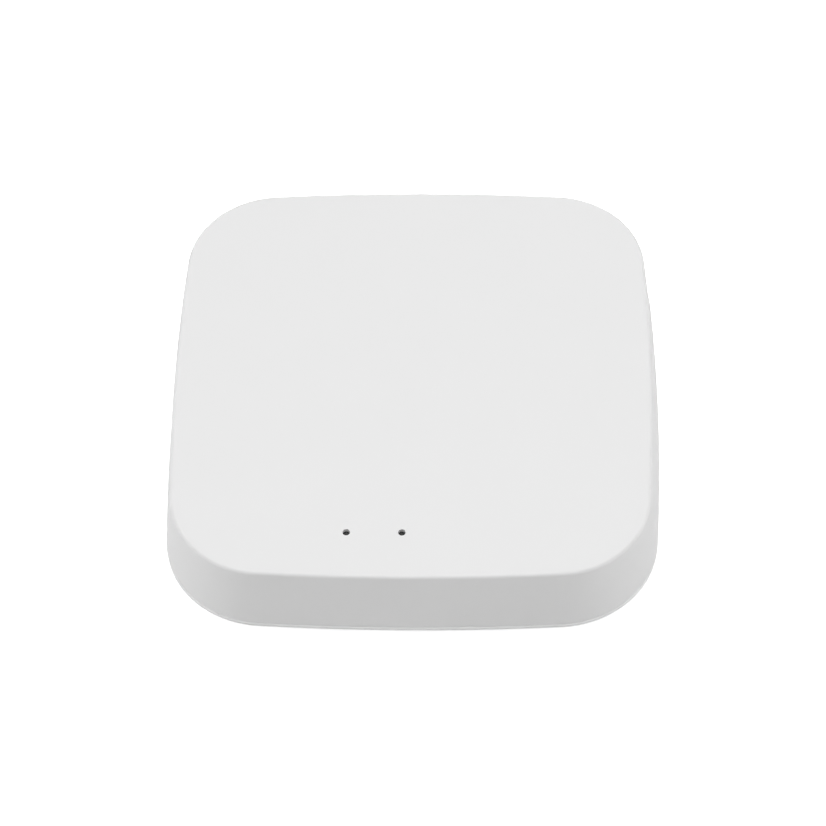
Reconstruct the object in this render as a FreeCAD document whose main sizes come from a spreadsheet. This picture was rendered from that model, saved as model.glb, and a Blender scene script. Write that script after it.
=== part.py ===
import FreeCAD, Part

# A palm-sized smart home hub: a low white box with bowed sides, two indicator holes in its top,
# and a power socket and a pairing button in its rear wall. Millimetres; +Z up, the front towards -Y,
# the origin on the table under the middle of the hub.

import math
import os
import re

import Sketcher
from FreeCAD import Placement, Rotation, Vector

# Driving dimensions: name -> (value, what it is). Every sketch and feature below is bound to these cells.
SIZES = {
    # Casing
    "width": (62.0, "over the base rim, side to side and front to back"),
    "height": (12.0, "table to top face"),
    "side_radius": (306.0, "bow of each side, at the rim"),
    "corner_radius": (12.7, "corners, at the rim"),
    "edge_round": (0.45, "rounding of the top edge"),
    "draft_inset": (1.08, "how far the walls lean in between the seam and the top face"),
    "wall": (1.6, "shell wall and top"),
    "foot_proud": (0.8, "gap between the table and the base's underside"),
    "under_chamfer": (1.3, "bevel under the rim"),
    "rim_strip": (0.45, "upright face of the rim"),
    "rim_ledge": (0.12, "how far the rim stands out past the shell"),
    "seam_gap": (0.03, "fine gap between rim and shell"),
    "floor_sink": (0.45, "how far the floor lies below the rim's top"),
    "lip_inset": (2.1, "rim to the outside of the locating lip"),
    "lip_wall": (1.1, "thickness of the lip"),
    "lip_height": (1.45, "lip above the rim"),
    "lip_gap_width": (27.0, "break in the lip behind the socket and the button"),
    "lip_gap_x": (6.5, "middle of that break"),
    # Feet and label
    "foot_radius": (4.5, "rubber foot"),
    "foot_sink": (0.4, "depth of the foot's seat in the base"),
    "foot_ease": (0.3, "bevel at the bottom of the foot"),
    "seat_gap": (0.15, "clearance round a foot or the label"),
    "label_width": (26.0, "rating label, side to side"),
    "label_depth": (17.0, "rating label, front to back"),
    "label_thick": (0.08, "rating label film"),
    "label_sink": (0.12, "depth of the label's seat"),
    "label_round": (1.5, "label corners"),
    # Screws and their bosses
    "boss_offset": (20.5, "screws, left and right and front and back of the middle"),
    "boss_radius": (2.5, "bosses under the shell's top"),
    "standoff_radius": (2.7, "posts on the base that the board rests on"),
    "pilot_radius": (0.85, "pilot hole that the thread cuts into"),
    "pilot_end": (1.0, "material left above the pilot hole"),
    "thread_radius": (1.0, "screw thread, outside"),
    "root_radius": (0.8, "screw thread, root"),
    "thread_pitch": (0.8, "screw thread"),
    "shank_length": (6.8, "under the head, without the tip"),
    "tip_length": (0.5, "cone at the end of the screw"),
    "head_radius": (1.8, "pan head"),
    "head_height": (1.1, "pan head"),
    "head_edge": (0.5, "upright edge of the head"),
    "seat_level": (2.4, "where the heads seat, above the table"),
    "clear_radius": (1.2, "clearance hole for a screw"),
    "counterbore_radius": (2.1, "for a screw head"),
    "recess_width": (0.45, "arm of the cross recess"),
    "recess_length": (2.0, "cross recess, end to end"),
    "recess_depth": (0.6, "cross recess"),
    # Board
    "board_level": (3.6, "underside of the board above the table"),
    "board_thick": (1.0, "board"),
    "board_width": (53.0, "side to side"),
    "board_front": (26.5, "front edge to the middle"),
    "board_back": (27.0, "rear edge to the middle"),
    "board_tab": (28.4, "rear edge of the tab under the socket"),
    "board_tab_width": (11.4, "tab under the socket"),
    "board_round": (9.0, "board corners"),
    "post_x": (6.6, "posts beside the socket"),
    "post_y": (25.0, "posts beside the socket"),
    "post_radius": (1.4, "posts beside the socket"),
    # Indicators
    "led_spacing": (6.7, "between the two indicators"),
    "led_x": (-4.2, "midway between them"),
    "led_y": (-23.3, "behind the front edge"),
    "led_hole_radius": (0.45, "hole in the top"),
    "led_skin": (0.5, "top wall left over each light guide"),
    "led_length": (2.0, "indicator, end to end"),
    "led_breadth": (1.25, "indicator"),
    "led_base": (0.35, "height of its ceramic base"),
    "led_lens_length": (1.3, "its clear lens"),
    "led_tall": (0.8, "base and lens"),
    "guide_radius": (1.15, "light guide stem"),
    "guide_foot_radius": (1.6, "light guide foot"),
    "guide_foot_thick": (0.5, "light guide foot"),
    "guide_bottom": (5.6, "underside of the guide above the table"),
    "guide_gap": (0.1, "between the guide and the skin"),
    "guide_slack": (0.1, "round the guide"),
    "shield_length": (12.6, "light shield, side to side"),
    "shield_breadth": (5.0, "light shield"),
    "shield_slack": (0.05, "above and below the light shield"),
    # Power socket
    "usb_width": (7.5, "shell, outside"),
    "usb_tall": (2.5, "shell, outside"),
    "usb_narrow": (5.8, "width of the shell's underside"),
    "usb_bevel": (1.15, "height of its slanting corners"),
    "usb_metal": (0.25, "sheet thickness"),
    "usb_length": (5.6, "mouth to back"),
    "usb_mouth": (29.75, "mouth, behind the middle of the hub"),
    "usb_block": (1.75, "plastic block at the back of the shell"),
    "usb_slack": (0.03, "between the block and the shell"),
    "tongue_width": (3.7, "tongue that the contacts lie on"),
    "tongue_thick": (0.6, "tongue"),
    "tongue_low": (1.25, "underside of the tongue above the board"),
    "tongue_back": (0.65, "tongue's end, in from the mouth"),
    "contact_pitch": (0.65, "between contacts"),
    "contact_width": (0.28, "contact"),
    "contact_thick": (0.1, "contact"),
    "contact_length": (2.9, "contact on the tongue"),
    "contact_back": (0.2, "contact's end, in from the tongue's end"),
    "tail_length": (0.9, "solder tail behind the shell"),
    "leg_length": (0.9, "shell's solder legs, front to back"),
    "leg_depth": (1.25, "how far the legs reach down through the board"),
    "leg_front": (2.6, "mouth to the middle of the front legs"),
    "leg_step": (2.2, "front legs to rear legs"),
    "leg_slot_width": (0.7, "board slot for a leg"),
    "leg_slot_length": (1.4, "board slot for a leg"),
    "socket_gap": (0.4, "wall opening round the socket"),
    "socket_round": (1.0, "corners of that opening"),
    # Pairing button
    "button_x": (14.0, "from the middle"),
    "button_level": (6.5, "middle of the button above the table"),
    "button_width": (5.0, "pill-shaped cap"),
    "button_tall": (2.4, "pill-shaped cap"),
    "button_gap": (0.15, "round the cap"),
    "button_end": (30.8, "cap's outer face, behind the middle of the hub"),
    "button_ease": (0.25, "bevel on the cap's edge"),
    "flange_front": (27.95, "cap's flange, behind the middle of the hub"),
    "flange_thick": (0.7, "cap's flange"),
    "flange_width": (6.8, "cap's flange"),
    "flange_tall": (3.3, "cap's flange"),
    "nub_radius": (0.9, "nub that meets the switch"),
    "nub_gap": (0.03, "nub to plunger"),
    "guide_rib": (0.9, "ribs either side of the flange"),
    "guide_rib_gap": (0.15, "flange to rib"),
    "rib_rise": (0.12, "board to the ribs' lower ends"),
    "guide_rib_reach": (2.6, "ribs, in from the wall's outside"),
    # Side-push switch
    "switch_width": (6.0, "side to side"),
    "switch_depth": (3.4, "housing, front to back"),
    "switch_tall": (3.3, "housing"),
    "switch_back": (22.6, "back of the housing, behind the middle of the hub"),
    "cover_thick": (0.2, "steel cover"),
    "well_width": (4.6, "well in the housing"),
    "well_tall": (2.2, "well in the housing"),
    "well_depth": (1.8, "well in the housing"),
    "plunger_width": (2.6, "part of the plunger that stands out"),
    "plunger_tall": (1.3, "part of the plunger that stands out"),
    "plunger_out": (0.6, "plunger past the cover"),
    "plunger_flange": (0.7, "plunger's flange, front to back"),
    "plunger_slack": (0.1, "round the plunger"),
    "dome_span": (3.8, "spring leaf, side to side"),
    "dome_thick": (0.08, "spring leaf"),
    "dome_tall": (1.7, "spring leaf"),
    "dome_rise": (0.95, "spring leaf"),
    "terminal_width": (1.0, "switch terminal"),
    "terminal_length": (0.7, "switch terminal"),
    "terminal_thick": (0.2, "switch terminal"),
    # Radio modules
    "module_length": (24.0, "side to side"),
    "module_breadth": (16.0, "front to back"),
    "module_thick": (0.8, "module board"),
    "module_inner": (2.0, "middle of the hub to the module's inner end"),
    "module_y": (2.5, "middle of the modules, behind the middle of the hub"),
    "notch_radius": (0.4, "solder notch in the module's edge"),
    "notch_pitch": (2.0, "solder notches"),
    "notch_first": (2.2, "module's inner end to the first notch"),
    "joint_radius": (0.32, "solder in a notch"),
    "joint_height": (0.6, "solder in a notch"),
    "can_length": (15.4, "shield can"),
    "can_breadth": (14.0, "shield can"),
    "can_tall": (2.2, "shield can"),
    "can_metal": (0.2, "shield can sheet"),
    "can_start": (0.8, "module's inner end to the can"),
    "can_round": (0.8, "shield can corners"),
    "radio_chip": (6.0, "chip under the can, side"),
    "radio_chip_tall": (0.9, "chip under the can"),
    "track": (0.5, "width of the aerial's track"),
    "track_thick": (0.05, "copper"),
    "meander_pitch": (1.1, "aerial's legs"),
    "meander_reach": (5.2, "aerial's legs"),
    "meander_start": (17.2, "module's inner end to the aerial"),
    # Small parts on the board
    "fuse_end": (0.6, "fuse's soldered ends"),
    "can_cap_radius": (3.15, "electrolytic capacitor can"),
    "can_cap_tall": (5.2, "electrolytic capacitor with its base"),
    "can_cap_base": (1.0, "its plastic base"),
    "can_cap_side": (6.6, "its plastic base"),
    "can_cap_neck": (0.2, "groove pressed round the can"),
    "passive_length": (1.6, "chip capacitor or resistor"),
    "passive_breadth": (0.8, "chip capacitor or resistor"),
    "passive_end": (0.3, "its soldered ends"),
    "ceramic_tall": (0.8, "chip capacitor"),
    "resistor_tall": (0.45, "chip resistor"),
    "transistor_length": (2.9, "indicator transistor"),
    "transistor_breadth": (1.3, "indicator transistor"),
    "transistor_tall": (1.0, "indicator transistor"),
    "inductor_window": (1.65, "round winding window in the inductor's top"),
    "inductor_groove": (0.24, "width and depth of the groove round it"),
    "crystal_lid": (0.2, "thickness of the crystal's lid"),
    "crystal_ledge": (0.15, "ceramic showing round the lid"),
    "mould_draft": (7.0, "degrees that a moulded package's sides lean in"),
    "lead_thick": (0.15, "leads of the small packages"),
    "lead_width": (0.42, "leads of the small packages"),
    "lead_reach": (1.05, "leads, out from the body"),
    "lead_rise": (0.7, "leads, where they enter the body"),
    "lead_foot": (0.55, "flat of the lead on the board"),
}

# Parts soldered to the board: name -> (x, y, length, breadth, height), in cells NAME_x, NAME_y and so on.
FITTED = {
    "regulator": (-13.0, 18.6, 6.5, 3.5, 1.6),
    "inductor": (10.6, 16.6, 4.0, 4.0, 1.9),
    "fuse": (-9.4, 25.2, 4.5, 3.2, 0.8),
    "surge_diode": (7.4, 21.4, 4.3, 2.6, 2.1),
    "memory_chip": (9.0, -13.0, 4.9, 3.9, 1.45),
    "crystal": (-12.5, -12.0, 3.2, 2.5, 0.7),
}
LED_NAMES = ("pairing", "network")
CORNERS = (
    ("front_left", -1, -1),
    ("front_right", 1, -1),
    ("rear_left", -1, 1),
    ("rear_right", 1, 1),
)
CAPACITOR_SPOTS = ((-4.6, 16.4), (3.6, 16.4))
TRANSISTOR_SPOTS = ((-13.4, -20.6), (-13.4, -24.0))
# Chip capacitors and resistors, each (x, y), long side along X.
CERAMIC_SPOTS = (
    (-22.5, -9.0), (-19.5, -9.0), (-16.5, -9.0), (-7.0, -9.5), (-4.0, -9.5), (-1.0, -9.5),
    (14.5, -10.0), (17.5, -10.0), (20.5, -10.0), (-20.0, 13.4), (-8.0, 21.2), (12.0, 12.6),
)
RESISTOR_SPOTS = (
    (-8.0, -17.5), (-5.0, -17.5), (-2.0, -17.5), (1.0, -17.5), (4.5, -21.5), (4.5, -24.0),
    (8.0, -21.5), (8.0, -24.0), (14.5, -13.5), (17.5, -13.5), (16.0, 12.6), (-22.5, -12.0),
)
BOW_STEPS = 4  # the outline repeats every quarter turn
NOTCHES = 8  # solder notches along each long edge of a radio module
AERIAL_LEGS = 6
CONTACTS = 5
TINY = 1e-4  # two measures closer than this are the same

doc = FreeCAD.newDocument("smart_home_hub")
sheet = doc.addObject("Spreadsheet::Sheet", "sizes")
made = {}  # node name -> the object that holds its solids


# ---------------------------------------------------------------- sheet and expressions


def add_sizes():
    """Fills the sheet: one row for each driving dimension."""
    rows = dict(SIZES)
    for name, values in FITTED.items():
        for ending, value in zip(("x", "y", "length", "breadth", "tall"), values):
            rows[f"{name}_{ending}"] = (value, f"{name}, {ending}")
    for row, (name, (value, meaning)) in enumerate(rows.items(), start=1):
        sheet.set(f"A{row}", meaning)
        sheet.set(f"B{row}", str(value))
        sheet.setAlias(f"B{row}", name)
    doc.recompute()
    return set(rows)


CELLS = add_sizes()


def linked(expression):
    """The expression with each cell's name in the form that FreeCAD reads."""

    def cell(found):
        return "sizes." + found.group() if found.group() in CELLS else found.group()

    return re.sub(r"[a-z][a-z_]*", cell, str(expression))


def number(expression):
    """The expression's present value."""
    value = sheet.evalExpression(linked(expression))
    return float(getattr(value, "Value", value))


def bind(thing, name, expression):
    thing.setExpression(name, linked(expression))


# ---------------------------------------------------------------- sketches


def new_body(label):
    body = doc.addObject("PartDesign::Body", label)
    body.Label = label
    return body


def place(thing, x=0, y=0, z=0, turn=0):
    """Stands the piece at a point, turned about +Z by a number of degrees."""
    thing.Placement = Placement(Vector(number(x), number(y), number(z)), Rotation(Vector(0, 0, 1), turn))
    for axis, value in zip("xyz", (x, y, z)):
        bind(thing, f"Placement.Base.{axis}", value)


class Drawing:
    """A sketch on one of its body's origin planes, moved along that plane's axis to a level."""

    SIGNS = {"XY": 1, "XZ": -1, "YZ": 1}  # which way the plane's normal runs along its world axis

    def __init__(self, body, name, plane="XY", level=0):
        self.body = body
        self.sign = self.SIGNS[plane]
        self.sketch = body.newObject("Sketcher::SketchObject", f"{body.Name}_{name}")
        role = plane + "_Plane"
        origin = next(f for f in body.Origin.OriginFeatures if f.Role == role)
        self.sketch.AttachmentSupport = [(origin, "")]
        self.sketch.MapMode = "FlatFace"
        bind(self.sketch, "AttachmentOffset.Base.z", f"{self.sign} * ({level})")
        self.count = 0

    def measure(self, kind, places, expression):
        """One driving dimension, bound to the sheet."""
        index = self.sketch.addConstraint(Sketcher.Constraint(kind, *places, number(expression)))
        name = f"{kind}_{self.count}"
        self.count += 1
        self.sketch.renameConstraint(index, name)
        bind(self.sketch, f"Constraints.{name}", expression)

    def relate(self, kind, *places):
        """A constraint that has no size."""
        self.sketch.addConstraint(Sketcher.Constraint(kind, *places))

    def pin(self, geometry, end, x, y):
        """Fixes a point at (x, y); a zero puts it on the axis."""
        for kind, axis, value in (("DistanceX", -2, x), ("DistanceY", -1, y)):
            if abs(number(value)) < TINY:
                self.relate("PointOnObject", geometry, end, axis)
            else:
                self.measure(kind, (-1, 1, geometry, end), value)

    def circle(self, x, y, radius):
        centre = Vector(number(x), number(y), 0)
        index = self.sketch.addGeometry(Part.Circle(centre, Vector(0, 0, 1), number(radius)), False)
        self.pin(index, 3, x, y)
        self.measure("Radius", (index,), radius)
        return self

    def polygon(self, points):
        """Straight sides through these points, in order."""
        ends = [Vector(number(x), number(y), 0) for x, y in points]
        n = len(ends)
        first = self.sketch.GeometryCount
        self.sketch.addGeometry([Part.LineSegment(ends[i], ends[(i + 1) % n]) for i in range(n)], False)
        for i, (x, y) in enumerate(points):
            self.relate("Coincident", first + i, 1, first + (i - 1) % n, 2)
            self.pin(first + i, 1, x, y)
        return self

    def rectangle(self, x, y, width, depth):
        """A rectangle about its middle (x, y)."""
        left, right = f"{x} - ({width}) / 2", f"{x} + ({width}) / 2"
        low, high = f"{y} - ({depth}) / 2", f"{y} + ({depth}) / 2"
        return self.polygon([(left, low), (right, low), (right, high), (left, high)])

    def pill(self, x, y, length, breadth, upright=False):
        """A slot with round ends about its middle (x, y), long along the first axis unless upright."""
        radius = number(breadth) / 2
        reach = number(length) / 2 - radius
        middle, up = Vector(number(x), number(y), 0), Vector(0, 0, 1)
        turn = math.pi / 2 if upright else 0
        along = Vector(math.cos(turn), math.sin(turn), 0)
        across = up.cross(along)
        far, near = middle + along * reach, middle - along * reach
        first = self.sketch.GeometryCount
        self.sketch.addGeometry(
            [
                Part.ArcOfCircle(Part.Circle(far, up, radius), turn - math.pi / 2, turn + math.pi / 2),
                Part.LineSegment(far + across * radius, near + across * radius),
                Part.ArcOfCircle(Part.Circle(near, up, radius), turn + math.pi / 2, turn + 3 * math.pi / 2),
                Part.LineSegment(near - across * radius, far - across * radius),
            ],
            False,
        )
        for i in range(4):
            self.relate("Tangent", first + i, 2, first + (i + 1) % 4, 1)
        self.measure("Radius", (first,), f"({breadth}) / 2")
        for i, side in ((0, "+"), (2, "-")):
            shift = f"{side} (({length}) - ({breadth})) / 2"
            self.pin(first + i, 3, x if upright else f"{x} {shift}", f"{y} {shift}" if upright else y)
        return self

    def bowed_square(self, inset=0):
        """The hub's outline: four bowed sides joined by round corners, moved in from the rim by inset."""
        side = number(f"side_radius - ({inset})")
        corner = number(f"corner_radius - ({inset})")
        back = number("side_radius - width / 2")  # centre of a side's arc, beyond the middle
        step = (math.sqrt(2 * (side - corner) ** 2 - back**2) - back) / 2  # corner centre, along X and Y
        swing = math.atan2(step, step + back)
        up, quarter = Vector(0, 0, 1), math.pi / 2
        first = self.sketch.GeometryCount
        for i in range(BOW_STEPS):
            turn = i * quarter
            spin = Rotation(up, math.degrees(turn))
            centre, bend = spin.multVec(Vector(-back, 0, 0)), spin.multVec(Vector(step, step, 0))
            self.sketch.addGeometry(
                [
                    Part.ArcOfCircle(Part.Circle(centre, up, side), turn - swing, turn + swing),
                    Part.ArcOfCircle(Part.Circle(bend, up, corner), turn + swing, turn + quarter - swing),
                ],
                False,
            )
        arcs = 2 * BOW_STEPS
        for i in range(arcs):
            self.relate("Tangent", first + i, 2, first + (i + 1) % arcs, 1)
        for i in range(BOW_STEPS):
            away = f"{-1 if i < 2 else 1} * (side_radius - width / 2)"
            self.pin(first + 2 * i, 3, *((away, 0) if i % 2 == 0 else (0, away)))
            if i:
                self.relate("Equal", first, first + 2 * i)
                self.relate("Equal", first + 1, first + 2 * i + 1)
        self.measure("Radius", (first,), f"side_radius - ({inset})")
        self.measure("Radius", (first + 1,), f"corner_radius - ({inset})")
        return self

    # ------------------------------------------------------------ features made from the sketch

    def feature(self, kind, length, forward, taper=0):
        """A Pad or Pocket of this length, along the world axis's plus way when forward."""
        found = self.body.newObject(f"PartDesign::{kind}", f"{self.sketch.Name}_{kind}")
        found.Profile = self.sketch
        bind(found, "Length", length)
        along_normal = forward == (self.sign > 0)
        found.Reversed = along_normal if kind == "Pocket" else not along_normal
        if taper:
            found.TaperAngle = number(taper)
            bind(found, "TaperAngle", taper)
        self.sketch.Visibility = False
        return found

    def pad(self, length, forward=True, taper=0):
        found = self.feature("Pad", length, forward, taper)
        doc.recompute()
        return found

    def pocket(self, length, forward=True):
        before = self.body.Shape.Volume
        found = self.feature("Pocket", length, forward)
        doc.recompute()
        if not self.body.Shape.Volume < before - TINY:
            raise ValueError(f"{found.Name} cuts nothing")
        return found

    def revolve(self):
        """A full turn about the sketch's upright axis."""
        found = self.body.newObject("PartDesign::Revolution", f"{self.sketch.Name}_turned")
        found.Profile = self.sketch
        found.ReferenceAxis = (self.sketch, ["V_Axis"])
        found.Angle = 360
        doc.recompute()
        return found


def ease(body, kind, size, wanted):
    """A Fillet or Chamfer on the edges of the body's tip that wanted picks."""
    base = body.Tip
    names = [f"Edge{i}" for i, edge in enumerate(base.Shape.Edges, start=1) if wanted(edge)]
    found = body.newObject(f"PartDesign::{kind}", f"{body.Name}_{kind}")
    found.Base = (base, names)
    bind(found, "Radius" if kind == "Fillet" else "Size", size)
    doc.recompute()
    return found


def hollow_out(body, wall, open_level):
    """Leaves a wall of this thickness all round, open at the flat face that lies at open_level."""
    base, z = body.Tip, number(open_level)
    middles = [face.CenterOfMass.z for face in base.Shape.Faces]
    opened = [f"Face{i}" for i, middle in enumerate(middles, start=1) if abs(middle - z) < TINY]
    found = body.newObject("PartDesign::Thickness", f"{body.Name}_hollow")
    found.Base = (base, opened)
    bind(found, "Value", wall)
    found.Reversed = True
    found.Join = 1  # square inside corners
    doc.recompute()
    return found


def level_edges(level, axis="Z"):
    """Picks edges that lie flat at this level along an axis."""
    at = number(level)

    def wanted(edge):
        low, high = getattr(edge.BoundBox, f"{axis}Min"), getattr(edge.BoundBox, f"{axis}Max")
        return abs(low - at) < TINY and abs(high - at) < TINY

    return wanted


def edges_along(axis, reach=None):
    """Picks straight edges along an axis; with a reach, only those at that x, on either side."""
    far = None if reach is None else number(reach)

    def wanted(edge):
        box = edge.BoundBox
        lengths = {"X": box.XLength, "Y": box.YLength, "Z": box.ZLength}
        straight = lengths.pop(axis) > TINY and max(lengths.values()) < TINY
        return straight and (far is None or abs(abs(box.XMin) - far) < TINY)

    return wanted


# ---------------------------------------------------------------- other ways to make a piece


def block(name, length, breadth, tall, x, y, z):
    """A box about (x, y), standing on z."""
    box = doc.addObject("Part::Box", name)
    for side, value in (("Length", length), ("Width", breadth), ("Height", tall)):
        bind(box, side, value)
    place(box, f"{x} - ({length}) / 2", f"{y} - ({breadth}) / 2", z)
    return box


def together(label, members):
    """Several solids kept as one group."""
    group = doc.addObject("Part::Compound", label)
    group.Links = members
    for member in members:
        member.Visibility = False
    return group


def mirrored(source, name, normal):
    """The same piece on the other side of the middle plane that normal is square to."""
    copy = doc.addObject("Part::Mirroring", name)
    copy.Source = source
    copy.Normal = normal
    return copy


def node(label, thing):
    """Names the object that holds one sub-part."""
    thing.Label = label
    made[label] = thing
    return thing


BOARD_TOP = "(board_level + board_thick)"
RIM_TOP = "(foot_proud + under_chamfer + rim_strip)"
SHELL_BOTTOM = f"({RIM_TOP} + seam_gap)"
CEILING = "(height - wall)"
LED_PLACES = ("led_x - led_spacing / 2", "led_x + led_spacing / 2")


# ---------------------------------------------------------------- casing


def top_shell():
    """The white upper shell: leaning walls, a flat top, screw bosses, openings and guide ribs."""
    body = new_body("top_shell")
    tall = f"(height - {SHELL_BOTTOM})"
    outline = Drawing(body, "outline", level=SHELL_BOTTOM).bowed_square("rim_ledge")
    outline.pad(tall, taper=f"-atan(draft_inset / {tall})")
    ease(body, "Fillet", "edge_round", level_edges("height"))
    hollow_out(body, "wall", SHELL_BOTTOM)

    bosses = Drawing(body, "bosses", level=BOARD_TOP)
    pilots = Drawing(body, "pilots", level=BOARD_TOP)
    for _, side, end in CORNERS:
        bosses.circle(f"{side} * boss_offset", f"{end} * boss_offset", "boss_radius")
        pilots.circle(f"{side} * boss_offset", f"{end} * boss_offset", "pilot_radius")
    bosses.pad(f"{CEILING} - {BOARD_TOP} + wall / 4")
    pilots.pocket(f"{CEILING} - {BOARD_TOP} - pilot_end + wall / 4")

    ribs = Drawing(body, "button_ribs", level=f"{BOARD_TOP} + rib_rise")
    for side in (-1, 1):
        middle = f"button_x + {side} * (flange_width / 2 + guide_rib_gap + guide_rib / 2)"
        ribs.rectangle(middle, "width / 2 - wall - guide_rib_reach / 2", "guide_rib", "guide_rib_reach")
    ribs.pad(f"{CEILING} - {BOARD_TOP}")

    guides = Drawing(body, "guide_pockets", level=CEILING)
    holes = Drawing(body, "indicator_holes", level="height - led_skin")
    for x in LED_PLACES:
        guides.circle(x, "led_y", "guide_radius + 2 * guide_slack")
        holes.circle(x, "led_y", "led_hole_radius")
    guides.pocket("wall - led_skin")
    holes.pocket("led_skin + edge_round")

    inside = "width / 2 - 2 * wall - draft_inset"
    socket = Drawing(body, "socket", "XZ", inside)
    width, tall = "usb_width + 2 * socket_gap", "usb_tall + 2 * socket_gap"
    socket.rectangle(0, f"{BOARD_TOP} + usb_tall / 2", width, tall).pocket("wall * 4")
    ease(body, "Fillet", "socket_round", edges_along("Y", f"({width}) / 2"))
    button = Drawing(body, "button", "XZ", inside)
    button.pill("button_x", "button_level", "button_width + 2 * button_gap", "button_tall + 2 * button_gap")
    button.pocket("wall * 4")
    return node("top_shell", body)


def base_cover():
    """The white base: bevelled rim, locating lip, posts, screw holes, and seats for feet and label."""
    body = new_body("base_cover")
    Drawing(body, "outline", level="foot_proud").bowed_square().pad("under_chamfer + rim_strip")
    ease(body, "Chamfer", "under_chamfer", level_edges("foot_proud"))
    ease(body, "Chamfer", "rim_ledge", level_edges(RIM_TOP))
    lip = Drawing(body, "lip", level=RIM_TOP)
    lip.bowed_square("lip_inset").bowed_square("lip_inset + lip_wall").pad("lip_height")
    Drawing(body, "floor", level=RIM_TOP).bowed_square("lip_inset + lip_wall").pocket("floor_sink", False)
    gap = Drawing(body, "lip_break", level=RIM_TOP)
    gap.rectangle("lip_gap_x", "width / 2 - lip_inset", "lip_gap_width", "4 * lip_wall")
    gap.pocket("lip_height")

    floor_top = f"{RIM_TOP} - floor_sink"
    posts = Drawing(body, "posts", level=floor_top)
    for side in (-1, 1):
        posts.circle(f"{side} * post_x", "post_y", "post_radius")
    seats = Drawing(body, "foot_seats", level="foot_proud")
    counterbores = Drawing(body, "counterbores", level="foot_proud")
    holes = Drawing(body, "screw_holes", level="foot_proud")
    for _, side, end in CORNERS:
        spot = f"{side} * boss_offset", f"{end} * boss_offset"
        posts.circle(*spot, "standoff_radius")
        seats.circle(*spot, "foot_radius + seat_gap")
        counterbores.circle(*spot, "counterbore_radius")
        holes.circle(*spot, "clear_radius")
    posts.pad(f"board_level - ({floor_top})")
    seats.pocket("foot_sink")
    counterbores.pocket("seat_level - foot_proud")
    holes.pocket("board_level")

    label = Drawing(body, "label_seat", level="foot_proud")
    label.rectangle(0, 0, "label_width + 2 * seat_gap", "label_depth + 2 * seat_gap").pocket("label_sink")
    ease(body, "Fillet", "label_round + seat_gap", edges_along("Z", "label_width / 2 + seat_gap"))
    return node("base_cover", body)


def rubber_foot(name, side, end):
    """A round stick-on foot that covers one screw."""
    body = new_body(name)
    Drawing(body, "disc").circle(0, 0, "foot_radius").pad("foot_proud + foot_sink")
    ease(body, "Chamfer", "foot_ease", level_edges(0))
    place(body, f"{side} * boss_offset", f"{end} * boss_offset")
    return node(name, body)


def rating_label():
    """A blank film label in its shallow seat under the base."""
    body = new_body("rating_label")
    Drawing(body, "film").rectangle(0, 0, "label_width", "label_depth").pad("label_thick")
    ease(body, "Fillet", "label_round", edges_along("Z"))
    place(body, z="foot_proud + label_sink - label_thick")
    return node("rating_label", body)


def case_screws():
    """Four pan-head self-tapping screws, driven up through the base and the board into the bosses."""
    body = new_body("screw_blank")
    turns = int(number("shank_length / thread_pitch"))
    profile = [(0, "-head_height"), ("head_radius - head_edge", "-head_height")]
    profile += [("head_radius", "-head_edge"), ("head_radius", 0), ("root_radius", 0)]
    for i in range(turns):
        start = f"shank_length - {turns - i} * thread_pitch"
        profile += [("root_radius", f"{start} + thread_pitch / 4")]
        profile += [("thread_radius", f"{start} + thread_pitch / 2")]
        profile += [("root_radius", f"{start} + 3 * thread_pitch / 4")]
    profile += [("root_radius", "shank_length"), (0, "shank_length + tip_length")]
    Drawing(body, "profile", "XZ").polygon(profile).revolve()
    recess = Drawing(body, "cross_recess", level="-head_height")
    arm, reach = "recess_width / 2", "recess_length / 2"
    quarter = [(arm, arm), (arm, reach), (f"-{arm}", reach), (f"-{arm}", arm)]
    cross = []
    for turn in range(4):
        for x, y in quarter[:3]:
            spun = [(x, y), (f"-({y})", x), (f"-({x})", f"-({y})"), (y, f"-({x})")][turn]
            cross.append(spun)
    recess.polygon(cross).pocket("recess_depth")
    place(body, "boss_offset", "boss_offset", "seat_level")
    rear = together("rear_screws", [body, mirrored(body, "rear_left_screw", Vector(1, 0, 0))])
    front = mirrored(rear, "front_screws", Vector(0, 1, 0))
    return node("case_screws", together("case_screws", [rear, front]))


# ---------------------------------------------------------------- board, indicators and socket


def main_board():
    body = new_body("main_board")
    half, tab = "board_width / 2", "board_tab_width / 2"
    right = [(half, "-board_front"), (half, "board_back"), (tab, "board_back"), (tab, "board_tab")]
    outline = right + [(f"-{x}", y) for x, y in reversed(right)]
    Drawing(body, "outline", level="board_level").polygon(outline).pad("board_thick")
    ease(body, "Fillet", "board_round", edges_along("Z", "board_width / 2"))
    holes = Drawing(body, "screw_holes", level="board_level")
    for _, side, end in CORNERS:
        holes.circle(f"{side} * boss_offset", f"{end} * boss_offset", "clear_radius")
    holes.pocket("board_thick")
    slots = Drawing(body, "leg_slots", level="board_level")
    for side in (-1, 1):
        for row in (0, 1):
            slots.pill(
                f"{side} * (usb_width - usb_metal) / 2",
                f"usb_mouth - leg_front - {row} * leg_step",
                "leg_slot_length",
                "leg_slot_width",
                upright=True,
            )
    slots.pocket("board_thick")
    return node("main_board", body)


def indicator(name, x):
    """A chip light: a ceramic base with a clear lens."""
    base = block(f"{name}_base", "led_length", "led_breadth", "led_base", x, "led_y", BOARD_TOP)
    top = f"{BOARD_TOP} + led_base"
    lens = block(f"{name}_lens", "led_lens_length", "led_breadth", "led_tall - led_base", x, "led_y", top)
    whole = doc.addObject("Part::MultiFuse", name)
    whole.Shapes = [base, lens]
    return node(name, whole)


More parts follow.
